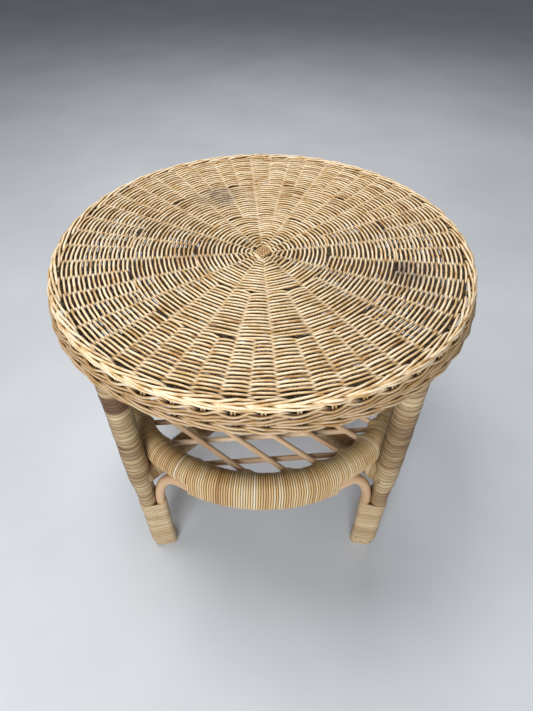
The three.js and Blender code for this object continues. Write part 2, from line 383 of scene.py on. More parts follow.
def stake_holes():
    """Small openings where a group of stakes parts: radius, angle and size of each."""
    rng = np.random.default_rng(11)
    inner = [(INNER_RADIUS, LINES[i], rng.uniform(0.2, 2.6)) for i in range(2, GROUPS, 4)]
    outer = [(MIDDLE_RADIUS, LINES[i], rng.uniform(0.0, 1.9)) for i in range(1, GROUPS, 2)]
    return inner + outer


HOLES = stake_holes()


def hole_push(radius, theta):
    """How far the holes push a row of weaving outward or inward."""
    push = np.zeros_like(theta)
    for hole_radius, angle, size in HOLES:
        off = np.angle(np.exp(1j * (theta - angle))) * hole_radius / 5.5
        gap = radius - hole_radius
        push += np.sign(gap) * size * np.exp(-(off**2) - np.abs(gap) / 6)
    return push


def woven_row(surface, rng, lines, per_gap, phase, radius_at, swing):
    """One round of weaving that goes over one group of stakes and under the next."""
    gaps = len(lines) - 1
    share = np.arange(per_gap) / per_gap
    theta = (lines[:-1, None] + np.diff(lines)[:, None] * share).ravel()
    rise = np.tanh(1.2 * np.sin(np.pi * share)) / np.tanh(1.2)
    sign = np.where((np.arange(gaps) + phase) % 2, -1.0, 1.0)
    sign *= rng.uniform(0.84, 1.0, gaps)
    height = (sign[:, None] * rise).ravel()
    under = np.clip(-height, 0, 1)
    radius = radius_at(theta)
    radius = radius + wavy(rng, len(theta), 3 * gaps // 2, 0.22) + wavy(rng, len(theta), 5, 0.25)
    radius += hole_push(radius, theta)
    level = dish_level(radius) - WEAVE_DEPTH + height * swing * (1 - 0.25 * under)
    path = round_points(radius, level, theta)
    thick = STRAND_RADIUS * np.clip(rng.normal(1, 0.06), 0.86, 1.14)
    thick = thick * (1 + wavy(rng, len(theta), 9, 0.025)) * (1 + 0.32 * under)
    shade = np.clip(0.5 - height / 2, 0, 1)
    tube(surface, rng, path, (0, 0, 1), thick, loop=True, shade=shade)


def rhombus_row(share, theta, half_width, half_length):
    """A round that is nearly a rhombus at share 0 and a circle at share 1."""
    power = 1.12 + 0.88 * smooth(share * 2.2)
    across = np.abs(np.cos(theta) / half_width) ** power
    along = np.abs(np.sin(theta) / half_length) ** power
    return (across + along) ** (-1 / power)


def centre_patch(surface):
    """The crossing of the first stakes in the middle of the top."""
    rng = np.random.default_rng(21)
    edge = math.hypot(PATCH_HALF_WIDTH, PATCH_HALF_LENGTH)
    thickness = 2 * PATCH_HALF_WIDTH * PATCH_HALF_LENGTH / edge
    pitch = thickness / PATCH_STICKS
    step = edge / PATCH_STICKS
    reach = np.linspace(-30, 30, 61)
    for way in (0, 1):
        angle = CROSS_HALF_ANGLE if way == 0 else math.pi - CROSS_HALF_ANGLE
        run = np.array([math.cos(angle), math.sin(angle)])
        # A step to the next stick follows the other sticks' direction.
        other = np.array([-run[0], run[1]]) * (1 if way == 0 else -1)
        for k in range(PATCH_STICKS):
            offset = (k - (PATCH_STICKS - 1) / 2) * step
            place = offset * other + reach[:, None] * run
            inside = smooth((edge / 2 + 1 - np.abs(reach)) / 2)
            over = np.sin(np.pi * (reach / step + 0.5 + k + way))
            drop = PATCH_DEPTH + PATCH_EDGE_DROP * (1 - inside)
            level = dish_level(0) - drop + PATCH_SWING * over * inside + rng.normal(0, 0.05)
            path = np.column_stack([place, level])
            shade = 0.55 - 0.15 * over + 0.3 * (1 - inside)
            tube(surface, rng, path, (0, 0, 1), pitch / 2 + 0.05, tone=rng.uniform(0.05, 0.45), shade=shade)


def add_rows():
    """The rounds of weaving, in three zones with 12, 24 and 48 gaps between their stakes."""
    rng = np.random.default_rng(5)
    inner = Surface()
    for k in range(INNER_ROWS):
        share = k / (INNER_ROWS - 1)
        half_width = PATCH_HALF_WIDTH + 2.2 + share * (INNER_RADIUS - 3.6 - PATCH_HALF_WIDTH)
        half_length = PATCH_HALF_LENGTH + 2.2 + share * (INNER_RADIUS - 3.6 - PATCH_HALF_LENGTH)
        # The first row goes round the four sides of the crossing.
        lines, per_gap = (np.radians([0, 90, 180, 270, 360]), 36) if k == 0 else (LINES[::4], 14)
        swing = INNER_SWING + (ROW_SWING - INNER_SWING) * smooth(k / 8)
        woven_row(
            inner,
            rng,
            lines,
            per_gap,
            k,
            lambda theta: rhombus_row(share, theta, half_width, half_length),
            swing,
        )
    centre_patch(inner)
    zones = [inner]
    for lines, first, last, per_gap in (
        (LINES[::2], INNER_RADIUS + 1.6, MIDDLE_RADIUS - 1.5, 12),
        (LINES, MIDDLE_RADIUS + 1.6, ROWS_END_RADIUS, 8),
    ):
        zone = Surface()
        rows = round((last - first) / ROW_PITCH) + 1
        for k, radius in enumerate(np.linspace(first, last, rows)):
            woven_row(zone, rng, lines, per_gap, k, lambda theta: radius + 0 * theta, ROW_SWING)
        zones.append(zone)
    return zones


# ---- rim and apron


WALL_TOP = np.array([RIM_RADIUS - RIM_CORNER, TOP_LEVEL - RIM_CORNER])
WALL_LEAN = math.atan2(APRON_RADIUS - RIM_RADIUS, TOP_LEVEL - WEAVE_THICKNESS - APRON_BOTTOM)
CORNER_TURN = math.pi / 2 - WALL_LEAN
HALF_CORNER = RIM_CORNER * CORNER_TURN / 2


def rim_place(s, depth):
    """Radius, height and outward direction at a distance s down the rim's section.

    s is 0 in the middle of the rim's corner, negative on the top and positive on the apron.
    """
    s, depth = np.broadcast_arrays(np.asarray(s, float), np.asarray(depth, float))
    turn = np.clip((s + HALF_CORNER) / RIM_CORNER, 0, CORNER_TURN)
    normal = np.stack([np.sin(turn), np.cos(turn)], -1)
    place = WALL_TOP + normal * (RIM_CORNER - depth[..., None])
    place[..., 0] += np.minimum(s + HALF_CORNER, 0)
    down = np.maximum(s - HALF_CORNER, 0)
    place[..., 0] += down * math.sin(WALL_LEAN)
    place[..., 1] -= down * math.cos(WALL_LEAN)
    return place[..., 0], place[..., 1], normal


def rim_round(per_gap):
    """Angles all round the rim, and the same counted in gaps between stakes."""
    share = np.arange(per_gap) / per_gap
    theta = (LINES[:-1, None] + np.diff(LINES)[:, None] * share).ravel()
    return theta, np.arange(GROUPS * per_gap) / per_gap


def rim_strand(surface, rng, theta, gaps, s, depth):
    """One strand that runs round the rim at a distance s and a depth under its surface."""
    scallop = 0.7 * np.cos(TURN * (gaps - 0.5)) * smooth((np.asarray(s) + 8) / 12)
    jitter = wavy(rng, len(theta), 60, 0.3) + wavy(rng, len(theta), 150, 0.12)
    r, z, normal = rim_place(s + jitter, depth - scallop)
    path = round_points(r, z, theta)
    up = round_points(normal[..., 0], normal[..., 1], theta)
    thick = RIM_STRAND * (1 + wavy(rng, len(theta), 12, 0.04)) * rng.normal(1, 0.03)
    shade = np.clip((depth - 2.2) / 6, 0, 0.8)
    tube(surface, rng, path, up, thick, sides=10, loop=True, shade=shade, strand=(260, 700))


def wale(surface, rng, middle, travel, dip=6.0, spread=0.0):
    """Three strands that each go in front of two pairs of stakes and behind the third.

    They rise by travel to the right, or fall if it is negative. With a spread they lie
    further apart between the stakes than at them.
    """
    theta, gaps = rim_round(RIM_STEPS)
    widening = 1 + spread * (1 + np.cos(TURN * gaps)) / 2
    for strand in range(3):
        phase = ((gaps - strand) / 3) % 1
        front = smooth(phase / 0.72)
        back = smooth((phase - 0.72) / 0.28)
        s = middle + (travel / 2 - travel * front + travel * back) * widening
        behind = np.clip(np.abs(phase - 5 / 6) / 0.185, 0, 1)
        depth = RIM_STRAND + dip * 0.5 * (1 + np.cos(np.pi * behind))
        depth = depth - 0.55 * np.sin(np.pi * np.clip(phase / 0.68, 0, 1))
        rim_strand(surface, rng, theta, gaps, s, depth)


def twined_pair(surface, rng, middle, bow):
    """Two strands twisted round each other between the stakes, one in front of each pair."""
    theta, gaps = rim_round(RIM_STEPS)
    slack = np.repeat(np.clip(rng.normal(1, 0.2, GROUPS), 0.6, 1.3), RIM_STEPS)
    for side in (-1, 1):
        s = middle + side * 0.95 * RIM_STRAND * np.cos(np.pi * gaps)
        s = s + bow * slack * np.abs(np.sin(np.pi * gaps)) ** 1.4
        behind = (1 - side * np.sin(np.pi * gaps)) / 2
        rim_strand(surface, rng, theta, gaps, s, RIM_STRAND + 5.4 * behind**1.6)


def add_rim():
    rng = np.random.default_rng(8)
    rim = Surface()
    wale(rim, rng, -5.3, 9.0)
    wale(rim, rng, 4.2, -6.0)
    apron = Surface()
    twined_pair(apron, rng, 12.8, 2.9)
    wale(apron, rng, 21.7, 6.0, spread=0.4)
    wale(apron, rng, 33.2, -7.5, dip=5.0)
    return rim, apron


def add_stakes():
    """The stakes: four together from the cross, parted twice on their way to the rim."""
    rng = np.random.default_rng(9)
    surface = Surface()

    def middle(step, i):
        """The angle of the group between two lines, step apart."""
        return (LINES[i] + LINES[i + step]) / 2

    def beside(angle, radius, height, offset):
        """Points on a line from the middle, moved sideways by an offset."""
        x = radius * np.cos(angle) - offset * np.sin(angle)
        y = radius * np.sin(angle) + offset * np.cos(angle)
        return np.stack([x, y, height], 1)

    def straight(angle, radius, offset):
        return beside(angle, radius, dish_level(radius) - WEAVE_DEPTH, offset)

    def flat_stake(angle, radius, offsets):
        path = straight(angle, radius, offsets)
        tone = rng.uniform(0.3, 0.7)
        tube(surface, rng, path, (0, 0, 1), STAKE_RADIUS, shade=STAKE_SHADE, tone=tone)

    def parting(angle, next_angle, radius, start, end, offset, next_offset):
        """Offsets from one group's line as a stake moves across to the next group's."""
        share = smooth((radius - start) / (end - start))
        across = radius * np.tan(next_angle - angle) + next_offset / np.cos(next_angle - angle)
        return offset + share * (across - offset)

    for i in range(0, GROUPS, 4):
        angle = middle(4, i)
        for k in range(4):
            offset = (k - 1.5) * STAKE_PITCH
            half = i if k < 2 else i + 2
            next_angle = middle(2, half)
            next_offset = (k % 2 - 0.5) * STAKE_PITCH
            radius = np.linspace(STAKES_START, MIDDLE_RADIUS - 10, 44)
            spread = offset * smooth(0.35 + (radius - STAKES_START) / 60)
            offsets = parting(angle, next_angle, radius, 82, 106, spread, next_offset)
            flat_stake(angle, radius, offsets)
    for i in range(0, GROUPS, 2):
        angle = middle(2, i)
        for k in (0, 3):
            radius = np.linspace(92, MIDDLE_RADIUS - 10, 26)
            offsets = (k - 1.5) * STAKE_PITCH * smooth(0.6 + (radius - 92) / 40)
            flat_stake(angle, radius, offsets)
        for k in range(4):
            half = i if k < 2 else i + 1
            next_angle = middle(1, half)
            next_offset = (k % 2 - 0.5) * APRON_STAKE_PITCH
            radius = np.linspace(MIDDLE_RADIUS - 12, 270, 26)
            offset = (k - 1.5) * STAKE_PITCH
            offsets = parting(angle, next_angle, radius, 176, 198, offset, next_offset)
            flat = straight(angle, radius, offsets)
            r, z, _ = rim_place(np.linspace(-16, APRON_STAKE_END, 24), APRON_STAKE_DEPTH)
            wall = beside(next_angle, r, z, next_offset + wavy(rng, 24, 4, 0.25))
            path = np.concatenate([flat, wall])
            outward = np.array([math.cos(next_angle), math.sin(next_angle), 0])
            tip = smooth((np.arange(len(path)) - 26) / 12)[:, None]
            up = unit((1 - tip) * np.array([0, 0, 1]) + tip * outward + 1e-6)
            shade = STAKE_SHADE * (1 - tip[:, 0])
            tone = rng.uniform(0.35, 0.75)
            tube(surface, rng, path, up, STAKE_RADIUS, shade=shade, tone=tone)
    return surface


# ---- wraps


def peel_turns(rng, start, end, width, spread):
    """Where each turn of a wound strip begins, along a line from start to end."""
    count = int((end - start) / width * 1.4) + 4
    steps = width * np.clip(rng.normal(1, spread, count), 0.55, 1.6)
    return start - width + np.concatenate([[0], np.cumsum(steps)])


def wound_strip(rng, edges, along, angle, tilt_wobble):
    """A strip wound round a tube: the turn that covers each point, and how far across it is.

    along and angle are rows × columns. Returns (share across the strip, length along it in turns).
    """
    wobble = np.zeros_like(along)
    for harmonic in (1, 2, 3):
        phase = rng.uniform(0, TURN)
        drift = np.interp(along, edges, rng.normal(0, tilt_wobble / harmonic, len(edges)))
        wobble += drift * np.cos(harmonic * angle + phase)
    turns = np.interp(along + wobble, edges, np.arange(len(edges))) - angle / TURN
    whole = np.floor(turns)
    return turns - whole, whole + angle / TURN


def strip_values(rng, length, spread):
    """A tone for each point along a strip, changing PEEL_CHANGES times a turn."""
    low = math.floor(length.min()) - 1
    knots = np.arange(low, length.max() + 2, 1 / PEEL_CHANGES)
    return np.clip(np.interp(length, knots, rng.normal(0.5, spread, len(knots))), 0, 1)


def away_from_edges(share, first, last):
    """Rises from 0 to 1 over the first share of a strip's width, and falls over its last."""
    return smooth(share / first) * smooth((1 - share) / last)


def shingle(share, rise):
    """Height of a wound strip that lies on the turn before it, across its width."""
    edge = away_from_edges(share, 0.07, 0.056)
    return rise * (0.25 + 0.75 * share**0.8) * edge


def peel_grain(angle, along, radius, length):
    """Grain that runs along a strip wound round a tube."""
    return np.stack([along, radius + 0 * along, length * TURN * radius], -1)


def leg_wrap_radius(z):
    return FOOT_LEG_WRAP + (LEG_WRAP - FOOT_LEG_WRAP) * smooth((z - JOINT_FOOT) / (JOINT_TOP - JOINT_FOOT))


def add_leg_wrap(name, corner):
    """The wide peel wound round a leg, from the foot wrap to the hoop."""
    rng = np.random.default_rng(30 + list(CORNERS).index(name))
    surface = Surface()
    bottom = FOOT_TOP - 14
    z = np.arange(bottom, LEG_TOP, WRAP_STEP)
    along, around = np.broadcast_arrays(z[:, None], angles_round(44)[None])
    edges = peel_turns(rng, bottom, LEG_TOP, LEG_PEEL_WIDTH, 0.28)
    share, length = wound_strip(rng, edges, along, around, 1.0)
    radius = leg_wrap_radius(z)[:, None] - 0.5 + shingle(share, 1.0)
    for k in (1, 2, 3):
        lump = wavy(rng, len(z), 14, 0.18)[:, None]
        radius = radius + lump * np.cos(k * around + rng.uniform(0, TURN))
    grid = stacked(corner + circle(around, radius), z)
    tone = strip_values(rng, length, 0.1)
    tone = tone + np.interp(along, edges, rng.normal(0.05, 0.08, len(edges)))
    low, high, darker = LEG_DARK_PEEL[name]
    tone = tone - darker * smooth((along - low) / 6) * smooth((high - along) / 6)
    crevice = 1 - away_from_edges(share, 0.12, 0.1)
    surface.add(grid, peel_grain(around, along, radius, length), tone, 0.9 * crevice)
    return surface


def band_outline(circles, count):
    """The tight band round circles (x, y, radius), as count points evenly spaced along it."""
    angle = np.linspace(0, TURN, 721)[:-1]
    reach = np.stack([x * np.cos(angle) + y * np.sin(angle) + r for x, y, r in circles])
    best = np.array(circles)[reach.argmax(0)]
    line = best[:, :2] + best[:, 2:] * circle(angle)
    closed = np.concatenate([line, line[:1]])
    along = np.concatenate([[0], np.cumsum(np.linalg.norm(np.diff(closed, axis=0), axis=1))])
    wanted = np.linspace(0, along[-1], count + 1)[:-1]
    return np.stack([np.interp(wanted, along, closed[:, i]) for i in (0, 1)], 1)


def outline_normals(outline):
    run = np.roll(outline, -1, 0) - np.roll(outline, 1, 0)
    return unit(np.stack([run[:, 1], -run[:, 0]], 1))


def add_foot_wrap(name, corner, ways):
    """The peel that binds a foot: the leg and the ends of two arches in one wrap."""
    rng = np.random.default_rng(50 + list(CORNERS).index(name))
    surface = Surface()
    circles = [(0, 0, FOOT_LEG_RADIUS)]
    circles.append((-ways[0] * ARCH_FOOT_OFFSET, 0, FOOT_ARCH_RADIUS))
    circles.append((0, -ways[1] * ARCH_FOOT_OFFSET, FOOT_ARCH_RADIUS))
    columns = 60
    outline = band_outline(circles, columns)
    normal = outline_normals(outline)
    # Up from the floor, and at the top over the edge and down inside the wrap.
    rounding = FOOT_ROUNDING * (1 - np.cos(np.linspace(0.12, math.pi / 2, 14)))
    straight = np.arange(FOOT_ROUNDING + WRAP_STEP, FOOT_TOP, WRAP_STEP)
    z = np.concatenate([[0, 0, 0.0], rounding, straight])
    lip = np.array([0.5, 1.6, 2.6, 2.8, 2.8, 2.8])
    fall = np.array([0.2, 0.1, -0.6, -3, -9, -18])
    height = np.concatenate([z, FOOT_TOP + fall])
    inset = np.concatenate([np.zeros_like(z), lip])
    waist = 0.8 * np.sin(np.pi * np.clip(height / FOOT_TOP, 0, 1))
    along, around = np.broadcast_arrays(height[:, None], angles_round(columns)[None])
    edges = peel_turns(rng, -4, FOOT_TOP + 6, FOOT_PEEL_WIDTH, 0.2)
    tilt = 3.0 * np.cos(around + rng.uniform(0, TURN))
    share, length = wound_strip(rng, edges, along + tilt, around, 0.8)
    wound = shingle(share, 0.75)
    wound[:6] *= 0.3
    wound[len(z) :] *= 0.2
    out = wound - 0.4 - inset[:, None] - waist[:, None]
    # The bottom is rounded off, most of all on the side away from the arches.
    facing = np.clip(normal @ np.array(ways) / math.sqrt(2), 0, 1)
    reach = FOOT_ARCH_ROUNDING + (FOOT_ROUNDING - FOOT_ARCH_ROUNDING) * facing
    low = np.clip(1 - along / reach, 0, 1)
    pull = (0.22 + 0.36 * facing) * (1 - np.sqrt(1 - low**2))
    centre = -FOOT_MIDDLE * np.array(ways)
    flat = outline[None] + normal[None] * out[..., None]
    flat += (centre - flat) * pull[..., None]
    for row, scale in enumerate((0.25, 0.6, 0.85)):
        flat[row] = centre + (flat[3] - centre) * scale
    grid = stacked(corner + flat, height)
    tone = strip_values(rng, length, 0.13)
    crevice = 1 - away_from_edges(share, 0.08, 0.06)
    crevice[len(z) + 2 :] = 1
    surface.add(grid, peel_grain(around, along, FOOT_PEEL_RADIUS, length), tone, 0.8 * crevice)
    return surface


def add_brace_wrap(index):
    """The peel wound along a diagonal brace under the shelf, thicker where it meets the legs."""
    rng = np.random.default_rng(70 + index)
    surface = Surface()
    half = LEG_OFFSET * math.sqrt(2)
    turn = math.radians(45 + 90 * index)
    run = np.array([math.cos(turn), math.sin(turn), 0])
    x = np.arange(-half, half, 1.0)
    along, around = np.broadcast_arrays(x[:, None], angles_round(36)[None])
    edges = peel_turns(rng, -half, half, BRACE_PEEL_WIDTH, 0.2)
    share, length = wound_strip(rng, edges, along, around, 1.0)
    near_leg = smooth((np.abs(x) - (half - SLEEVE_LENGTH)) / SLEEVE_TAPER)
    radius = BRACE_WRAP - 0.5 + (SLEEVE_WRAP - BRACE_WRAP) * near_leg
    radius = radius[:, None] + shingle(share, 0.8)
    path = x[:, None] * run + np.array([0, 0, BRACE_LEVEL])
    grid = sweep(path, (0, 0, 1), circle(around, radius))
    crevice = 1 - away_from_edges(share, 0.09, 0.07)
    tone = strip_values(rng, length, 0.16)
    surface.add(grid, peel_grain(around, along, radius, length), tone, 0.8 * crevice)
    return surface


# ---- shelf


def rod_ends(rods, reach):
    """Start and end of each rod of a layer, inside a circle whose radius is the reach."""
    turn = math.radians(rods["turn"])
    run = np.array([math.cos(turn), math.sin(turn), 0])
    across = np.array([-math.sin(turn), math.cos(turn), 0])
    for i in range(rods["count"]):
        offset = rods["first"] + i * rods["pitch"]
        half = math.sqrt(reach**2 - offset**2)
        middle = across * offset + np.array([0, 0, rods["level"]])
        yield middle - run * half, middle + run * half


def add_lattice():
    rng = np.random.default_rng(90)
    layers = []
    for rods in (LOWER_RODS, UPPER_RODS):
        surface = Surface()
        for start, end in rod_ends(rods, RING_RADIUS - 9):
            count = max(24, int(np.linalg.norm(end - start) / 5))
            share = np.linspace(0, 1, count)[:, None]
            path = start + (end - start) * share
            bend = np.sin(np.pi * share[:, 0])
            path[:, 2] += bend * rng.normal(0, 0.4)
            path[:, :2] += (bend * rng.normal(0, 0.7))[:, None] * unit(end - start)[[1, 0]] * [-1, 1]
            radius = ROD_RADIUS * (1 + wavy(rng, count, 6, 0.02) + rng.normal(0, 0.03))
            tube(surface, rng, path, (0, 0, 1), radius, sides=18, tone=np.clip(rng.normal(0.5, 0.2), 0, 1))
        layers.append(surface)
    return layers


def arch_path():
    """The bent cane of the front arch: up from one foot, along the ring and down to the other."""
    foot = np.array([-LEG_OFFSET + ARCH_FOOT_OFFSET, -LEG_OFFSET])
    radius = RING_RADIUS + ARCH_OUTSET
    level = RING_LEVEL - ARCH_DROP
    angle = math.radians(ARCH_RING_ANGLE)
    ring_start = np.array([-radius * math.sin(angle), -radius * math.cos(angle)])
    straight = [(*foot, z) for z in np.arange(12, ARCH_BEND_START, 6)]
    shoulder = []
    for turn in np.radians(np.arange(0, 90, 5)):
        place = foot + (ring_start - foot) * (1 - math.cos(turn))
        shoulder.append((*place, ARCH_BEND_START + (level - ARCH_BEND_START) * math.sin(turn)))
    along = np.radians(np.linspace(-ARCH_RING_ANGLE, ARCH_RING_ANGLE, 45))
    ring = [(radius * math.sin(a), -radius * math.cos(a), level) for a in along]
    half = straight + shoulder
    mirrored = [(-x, y, z) for x, y, z in reversed(half)]
    path = np.array(half + ring + mirrored)
    soft = path.copy()
    for _ in range(6):
        soft[1:-1] = (soft[:-2] + 2 * soft[1:-1] + soft[2:]) / 4
    return soft


def add_arch(index):
    rng = np.random.default_rng(100 + index)
    surface = Surface()
    turn = index * math.pi / 2
    path = arch_path()
    spin = np.array([[math.cos(turn), -math.sin(turn)], [math.sin(turn), math.cos(turn)]])
    path[:, :2] = path[:, :2] @ spin.T
    outward = np.array([math.sin(turn), -math.cos(turn), 0])
    radius = ARCH_CANE * (1 + wavy(rng, len(path), 9, 0.012))
    tube(surface, rng, path, outward, radius, sides=28, tone=0.25)
    return surface


def rod_humps(point):
    """How far the ring's wrap stands up where the ends of the rods go under it."""
    hump = np.zeros(point.shape[:-1])
    for rods in (LOWER_RODS, UPPER_RODS):
        for start, end in rod_ends(rods, RING_RADIUS - RING_WRAP + 3):
            for place in (start, end):
                place = place + np.array([0, 0, ROD_HUMP_LIFT])
                gap = np.linalg.norm(point - place, axis=-1)
                hump += ROD_HUMP * np.exp(-((gap / ROD_HUMP_WIDTH) ** 2))
    return hump


def add_ring_wrap():
    """The narrow peel wound round the shelf's ring, in eight stretches."""
    rng = np.random.default_rng(120)
    columns = 44
    around = angles_round(columns)
    shares = np.array([0.0, 0.1, 0.3, 0.5, 0.7, 0.9])
    plain = band_outline([(0, 0, RING_WRAP)], columns)
    bundle = band_outline([(0, 0, RING_WRAP), (ARCH_OUTSET, -ARCH_DROP, BUNDLE_ARCH_WRAP)], columns)
    offset = rng.normal(0, 0.16, RING_TURNS)
    tones = 0.45 + wavy(rng, RING_TURNS, 24, 0.07) + rng.normal(0, 0.1, RING_TURNS)
    tones = np.clip(tones + 0.35 * (rng.uniform(size=RING_TURNS) < 0.07), 0, 1)
    starts = rng.uniform(0, 30000, RING_TURNS)
    step = 360 / RING_TURNS
    pieces = []
    for stretch in range(RING_STRETCHES):
        is_bundle = stretch % 2 == 0
        middle = -90 + 45 * stretch
        half = BUNDLE_HALF_ANGLE if is_bundle else 45 - BUNDLE_HALF_ANGLE
        first = round((middle - half) / step)
        last = round((middle + half) / step)
        turns = np.arange(first, last)
        share = np.tile(shares, len(turns))
        number = np.repeat(turns, len(shares)) % RING_TURNS
        position = np.repeat(turns, len(shares)) + share
        share = np.append(share, 0.0)
        number = np.append(number, number[-1])
        position = np.append(position, float(last))
        base = np.radians(position * step)
        outline = bundle if is_bundle else plain
        normal = outline_normals(outline)
        round_bump = np.abs(np.sin(np.pi * share)) ** 0.55
        theta = base[:, None] + 0.35 * math.radians(step) * np.sin(around)[None]
        out = (RING_PEEL_BULGE * round_bump + offset[number] - RING_PEEL_SINK)[:, None]
        section = outline[None] + normal[None] * out[..., None]
        point = round_points(RING_RADIUS + section[..., 0], RING_LEVEL + section[..., 1], theta)
        direction = round_points(normal[:, 0], np.broadcast_to(normal[:, 1], theta.shape), theta)
        point += direction * rod_humps(point)[..., None]
        point = point[:, ::-1]
        surface = Surface()
        across = share[:, None] * RING_PEEL_WIDTH
        position = around * RING_PEEL_RADIUS + starts[number][:, None]
        grain = np.stack(np.broadcast_arrays(across, 0.0, position), -1)
        shade = 1 - np.abs(np.sin(np.pi * share)) ** 1.5
        surface.add(point, grain[:, ::-1], tones[number], shade)
        pieces.append((surface, is_bundle, stretch // 2))
    return pieces


# ---- materials


def srgb(red, green, blue):
    """A colour given in 0 to 255 as shown on a screen, as the linear colour a shader takes."""
    channels = []
    for value in (red, green, blue):
        value /= 255
        channels.append(value / 12.92 if value <= 0.04045 else ((value + 0.055) / 1.055) ** 2.4)
    return (*channels, 1.0)


class Shader:
    """Builds one node material."""

    def __init__(self, name):
        self.material = bpy.data.materials.new(name)
        self.material.use_nodes = True
        self.tree = self.material.node_tree
        self.tree.nodes.clear()
        output = self.tree.nodes.new("ShaderNodeOutputMaterial")
        self.surface = self.tree.nodes.new("ShaderNodeBsdfPrincipled")
        self.link(self.surface.outputs["BSDF"], output.inputs["Surface"])

    def link(self, source, target):
        self.tree.links.new(source, target)

    def put(self, value, socket):
        if isinstance(value, bpy.types.NodeSocket):
            self.link(value, socket)
        else:
            socket.default_value = value

    def value(self, name):
        node = self.tree.nodes.new("ShaderNodeAttribute")
        node.attribute_name = name
        return node.outputs["Fac"]

    def grain(self, stretch):
        """The place on a strand or strip, with the third number the distance along it."""
        node = self.tree.nodes.new("ShaderNodeAttribute")
        node.attribute_name = "grain"
        return self.scaled(node.outputs["Vector"], stretch)

    def place(self, stretch=(1, 1, 1)):
        node = self.tree.nodes.new("ShaderNodeTexCoord")
        return self.scaled(node.outputs["Object"], stretch)

    def part(self, vector, axis):
        node = self.tree.nodes.new("ShaderNodeSeparateXYZ")
        self.link(vector, node.inputs[0])
        return node.outputs[axis]

    def scaled(self, source, stretch):
        node = self.tree.nodes.new("ShaderNodeVectorMath")
        node.operation = "MULTIPLY"
        self.link(source, node.inputs[0])
        node.inputs[1].default_value = stretch
        return node.outputs["Vector"]

    def noise(self, vector, scale, detail=2.0, roughness=0.5):
        node = self.tree.nodes.new("ShaderNodeTexNoise")
        self.link(vector, node.inputs["Vector"])
        for name, number in (("Scale", scale), ("Detail", detail), ("Roughness", roughness)):
            node.inputs[name].default_value = number
        return node.outputs["Fac"]

    def math(self, operation, a, b=0.0, clamp=False):
        node = self.tree.nodes.new("ShaderNodeMath")
        node.operation = operation
        node.use_clamp = clamp
        self.put(a, node.inputs[0])
        self.put(b, node.inputs[1])
        return node.outputs["Value"]

    def stir(self, tone, noise, amount, clamp=False):
        """Raises and lowers a tone by a noise whose middle is 0.5."""
        off = self.math("MULTIPLY", self.math("SUBTRACT", noise, 0.5), amount)
        return self.math("ADD", tone, off, clamp)

    def spread(self, value, low, high, to_low=0.0, to_high=1.0):
        """Maps the range from low to high onto another one, with no corner at either end."""
        node = self.tree.nodes.new("ShaderNodeMapRange")
        node.interpolation_type = "SMOOTHSTEP"
        self.put(value, node.inputs["Value"])
        for name, number in zip(("From Min", "From Max", "To Min", "To Max"), (low, high, to_low, to_high)):
            node.inputs[name].default_value = number
        return node.outputs["Result"]

    def ramp(self, factor, stops):
        node = self.tree.nodes.new("ShaderNodeValToRGB")
        self.link(factor, node.inputs["Fac"])
        elements = node.color_ramp.elements
        while len(elements) < len(stops):
            elements.new(0.5)
        for element, (position, colour) in zip(elements, stops):
            element.position = position
            element.color = colour
        return node.outputs["Color"]

    def mix(self, factor, a, b):
        node = self.tree.nodes.new("ShaderNodeMix")
        node.data_type = "RGBA"
        self.put(factor, node.inputs["Factor"])
        self.put(a, node.inputs[6])
        self.put(b, node.inputs[7])
        return node.outputs[2]

    def bump(self, height, strength, distance):
        node = self.tree.nodes.new("ShaderNodeBump")
        node.inputs["Strength"].default_value = strength
        node.inputs["Distance"].default_value = distance
        self.link(height, node.inputs["Height"])
        self.link(node.outputs["Normal"], self.surface.inputs["Normal"])

    def finish(self, colour, roughness, specular=0.5):
        self.put(colour, self.surface.inputs["Base Color"])
        self.put(roughness, self.surface.inputs["Roughness"])
        self.surface.inputs["Specular IOR Level"].default_value = specular
        return self.material


# Stains on the top, in metres: place, radius and colour of each.
STAINS = (
    ((-0.070, 0.150), 0.045, srgb(132, 110, 98)),
    ((0.197, -0.06), 0.042, srgb(120, 98, 88)),
    ((-0.10, -0.005), 0.045, srgb(182, 142, 96)),
)


def near(shader, centre, radius):
    """A blob that is 1 at a place on the table and 0 a radius away from it."""
    node = shader.tree.nodes.new("ShaderNodeVectorMath")
    node.operation = "DISTANCE"
    shader.link(shader.place((1, 1, 0)), node.inputs[0])
    node.inputs[1].default_value = (*centre, 0)
    return shader.spread(node.outputs["Value"], radius, radius * 0.25)


